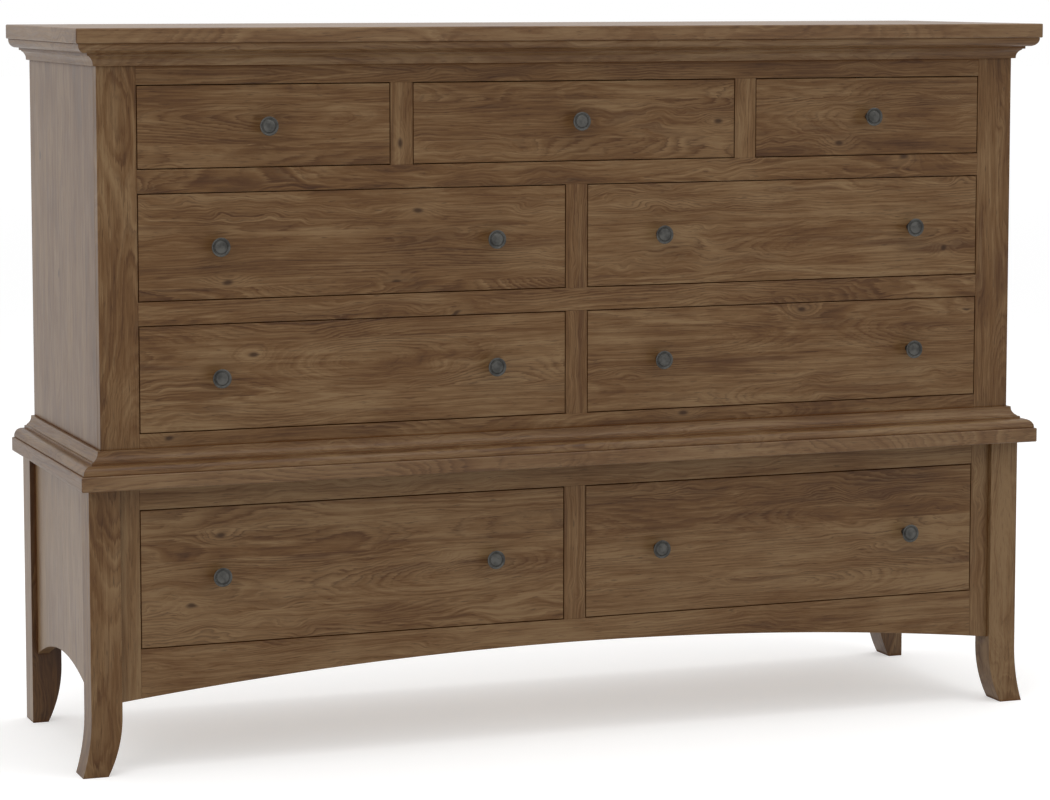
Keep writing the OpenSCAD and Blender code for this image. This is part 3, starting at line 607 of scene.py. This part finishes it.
# distance from the knob's axis and height above the drawer front, in mm: foot, neck, head and its groove, dished face
knob = {
    "outline": [(5.6, 0), (5.9, 0.3), (5.9, 1.1), (5.4, 1.8), (5.0, 2.9), (4.8, 4.2), (4.7, 6), (4.7, 12.5),
                (5.2, 15), (6.7, 17.6), (9.1, 19.8), (12, 21.2), (14.2, 22.1), (15.1, 22.9), (15.5, 23.9),
                (15.3, 24.7), (14.6, 25.15), (13.6, 25.1), (12.9, 24.6), (12.3, 24.1), (11.6, 23.8), (10.8, 23.9),
                (10.4, 24.3), (10.1, 24.8), (9.6, 25.15), (8, 25.4), (5, 25.75), (2.4, 25.95)],
    "height": 26,
    "around": 64,
}
# pan head on the back of the drawer front, which is 20 mm thick, outline as the knob's
screw = {
    "outline": [(4.5, -20), (4.5, -20.8), (4.0, -21.7), (3.0, -22.3), (1.9, -22.5)],
    "height": -22.5,
    "around": 32,
    "slotWidth": 1.1,
    "slotDepth": 1.2,
    "cutterLength": 20,
    "cutterOverrun": 1,  # past the top of the head
}
smoothTurning = 40  # degrees, under which neighbouring rings shade as one face


def makeTurned(name, shape, metal):
    # a circle at the foot of the outline, extruded and resized ring by ring
    radius, height = shape["outline"][0]
    selectOnly(None)
    bpy.ops.mesh.primitive_circle_add(vertices=shape["around"], radius=radius * mm, fill_type="NGON",
                                      location=(0, 0, height * mm))
    turned = bpy.context.object
    turned.name = name
    bpy.ops.object.transform_apply(location=True, rotation=True, scale=True)
    bpy.ops.object.mode_set(mode="EDIT")
    bpy.ops.mesh.select_all(action="SELECT")
    for nextRadius, nextHeight in shape["outline"][1:]:
        bpy.ops.mesh.extrude_region_move(TRANSFORM_OT_translate={"value": (0, 0, (nextHeight - height) * mm)})
        ratio = nextRadius / radius
        bpy.ops.transform.resize(value=(ratio, ratio, 1), center_override=(0, 0, nextHeight * mm))
        radius, height = nextRadius, nextHeight
    bpy.ops.mesh.extrude_region_move(TRANSFORM_OT_translate={"value": (0, 0, (shape["height"] - height) * mm)})
    bpy.ops.mesh.merge(type="CENTER")
    bpy.ops.mesh.select_all(action="SELECT")
    bpy.ops.mesh.normals_make_consistent(inside=False)
    bpy.ops.object.mode_set(mode="OBJECT")
    turned.data.materials.append(metal)
    return turned


knobPattern = makeTurned("knobPattern", knob, pewter)
screwPattern = makeTurned("screwPattern", screw, screwSteel)
cutterHeight = screw["slotDepth"] + screw["cutterOverrun"]
cutterMiddle = screw["height"] + screw["slotDepth"] / 2 - screw["cutterOverrun"] / 2
bpy.ops.mesh.primitive_cube_add(size=1, location=(0, 0, cutterMiddle * mm))
slotCutter = bpy.context.object
slotCutter.scale = (screw["cutterLength"] * mm, screw["slotWidth"] * mm, cutterHeight * mm)
cut = screwPattern.modifiers.new("drivingSlot", "BOOLEAN")
cut.object = slotCutter
selectOnly(screwPattern)
bpy.ops.object.modifier_apply(modifier="drivingSlot")
bpy.data.objects.remove(slotCutter)
for pattern in (knobPattern, screwPattern):
    selectOnly(pattern)
    bpy.ops.object.shade_smooth_by_angle(angle=math.radians(smoothTurning))

knobRadius = max(radius for radius, height in knob["outline"]) * mm
forwards = Matrix.Rotation(math.radians(90), 4, "X")  # the pattern's height, turned towards the front
knobCount = 0
for drawer in drawers:
    node = drawer + ("_knob" if drawer.startswith("row1") else "_knobs")
    low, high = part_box(drawer + "_front")
    knobLow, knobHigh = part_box(node)
    middle = (knobLow.x + knobHigh.x) / 2
    reach = (knobHigh.x - knobLow.x) / 2 - knobRadius
    copies = []
    for x in [middle] if reach < 1 * mm else [middle - reach, middle + reach]:  # one knob, or one near each end
        for pattern in (knobPattern, screwPattern):
            copy = bpy.data.objects.new(pattern.name, pattern.data.copy())
            bpy.context.collection.objects.link(copy)
            copy.data.transform(Matrix.Translation((x, low.y, (low.z + high.z) / 2)) @ forwards)
            copies.append(copy)
        knobCount += 1
    selectOnly(copies[0])
    for copy in copies:
        copy.select_set(True)
    bpy.ops.object.join()
    copies[0].name = drawer + "_pewter_knobs"
    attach(copies[0], drawer)
    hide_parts(node)
for pattern in (knobPattern, screwPattern):
    bpy.data.objects.remove(pattern)

print("dresser: knobs made,", knobCount)


studio = {
    "floorSize": 80,  # metres
    "floorColour": "#E0E0E0",
    "floorLift": 0.42,  # light added where the floor is seen, so that it meets the white backdrop
    "farLift": 0.5,  # and far off, where it gets less light, so that no line shows between floor and backdrop
    "farFloor": (5, 20),  # metres from the dresser, over which the lift grows
    "domeStrength": 0.85,  # of the white backdrop, behind and over the dresser
    "roomStrength": 0.45,  # of the room behind the camera
    "roomToDome": (-0.8, 0.3),  # share of y in the direction, over which the one turns into the other
    "background": "#FFFFFF",
}


def seenRays(tree):
    # 1 for a ray from the camera, a mirror or glass, and 0 for light on its way to the dresser
    rays = addNode(tree, "ShaderNodeLightPath", {})
    seen = rays.outputs["Is Camera Ray"]
    for kind in ("Is Glossy Ray", "Is Transmission Ray"):
        seen = addNode(tree, "ShaderNodeMath", {"operation": "MAXIMUM"},
                       {0: seen, 1: rays.outputs[kind]}).outputs[0]
    return seen


selectOnly(None)
bpy.ops.mesh.primitive_plane_add(size=studio["floorSize"], location=(0, 0, 0))
floor = bpy.context.object
floor.name = "studioFloor"
# matt white emulsion on a studio floor: even, with no gloss, so the soft shadow is all that shows
floorPaint, tree = newMaterial("mattWhiteFloorPaint")
seen = seenRays(tree)
matt = addNode(tree, "ShaderNodeBsdfDiffuse", {"Color": hexColour(studio["floorColour"])})
place = addNode(tree, "ShaderNodeTexCoord", {}).outputs["Object"]
away = addNode(tree, "ShaderNodeVectorMath", {"operation": "LENGTH"}, {0: place}).outputs["Value"]
whole = addNode(tree, "ShaderNodeMapRange",
                {"From Min": studio["farFloor"][0], "From Max": studio["farFloor"][1],
                 "To Min": studio["floorLift"], "To Max": studio["farLift"]},
                {"Value": away}).outputs[0]
lift = addNode(tree, "ShaderNodeMath", {"operation": "MULTIPLY"}, {0: seen, 1: whole}).outputs[0]
glow = addNode(tree, "ShaderNodeEmission", {"Color": hexColour(studio["background"])}, {"Strength": lift})
both = addNode(tree, "ShaderNodeAddShader", {}, {0: matt.outputs[0], 1: glow.outputs[0]})
addNode(tree, "ShaderNodeOutputMaterial", {}, {"Surface": both.outputs[0]})
floor.data.materials.append(floorPaint)
floor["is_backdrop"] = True

world = bpy.data.worlds.new("studioDome")
bpy.context.scene.world = world
world.use_nodes = True
tree = world.node_tree
tree.nodes.clear()
seen = seenRays(tree)
direction = addNode(tree, "ShaderNodeTexCoord", {}).outputs["Generated"]
way = addNode(tree, "ShaderNodeSeparateXYZ", {}, {"Vector": direction}).outputs["Y"]
begins, full = studio["roomToDome"]
lit = addNode(tree, "ShaderNodeMapRange",
              {"interpolation_type": "SMOOTHSTEP", "From Min": begins, "From Max": full,
               "To Min": studio["roomStrength"], "To Max": studio["domeStrength"]},
              {"Value": way}).outputs[0]
strength = addNode(tree, "ShaderNodeMix", {"data_type": "FLOAT", 3: 1.0}, {0: seen, 2: lit}).outputs[0]
dome = addNode(tree, "ShaderNodeBackground", {"Color": hexColour(studio["background"])}, {"Strength": strength})
addNode(tree, "ShaderNodeOutputWorld", {}, {"Surface": dome.outputs[0]})

# large soft boxes: place, what they point at, size in metres, watts
softBoxes = {
    "softBoxLeft": ((-3.9, -3.4, 3.2), (0, 0, 0.6), 2.8, 48),
    "softBoxRight": ((3.4, -4.4, 3.4), (0, 0, 0.6), 2.8, 29),
    "softBoxAbove": ((0.3, -0.7, 4.6), (0, 0, 1.2), 4.0, 94),
}
for name, (place, target, size, watts) in softBoxes.items():
    light = bpy.data.lights.new(name, "AREA")
    light.size = size
    light.energy = watts
    lamp = bpy.data.objects.new(name, light)
    lamp.location = place
    lamp.rotation_euler = (Vector(target) - Vector(place)).to_track_quat("-Z", "Y").to_euler()
    bpy.context.collection.objects.link(lamp)

# the photograph's own viewpoint, with a lens on a 36 mm wide sensor
photoCamera = {
    "sensor": 36,
    "lens": 115.61,
    "shift": -0.075,
    "place": (-2.0528, -5.4160, 1.2642),
    "down": 5.722,  # degrees
    "right": 20.681,
}
lens = bpy.data.cameras.new("photoCamera")
lens.sensor_width = photoCamera["sensor"]
lens.lens = photoCamera["lens"]
lens.shift_y = photoCamera["shift"]
camera = bpy.data.objects.new("photoCamera", lens)
camera.location = photoCamera["place"]
camera.rotation_euler = (math.radians(90 - photoCamera["down"]), 0, math.radians(-photoCamera["right"]))
bpy.context.collection.objects.link(camera)
bpy.context.scene.camera = camera
bpy.context.scene.view_settings.view_transform = "Standard"

print("dresser: floor, light and camera set")

low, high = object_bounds()
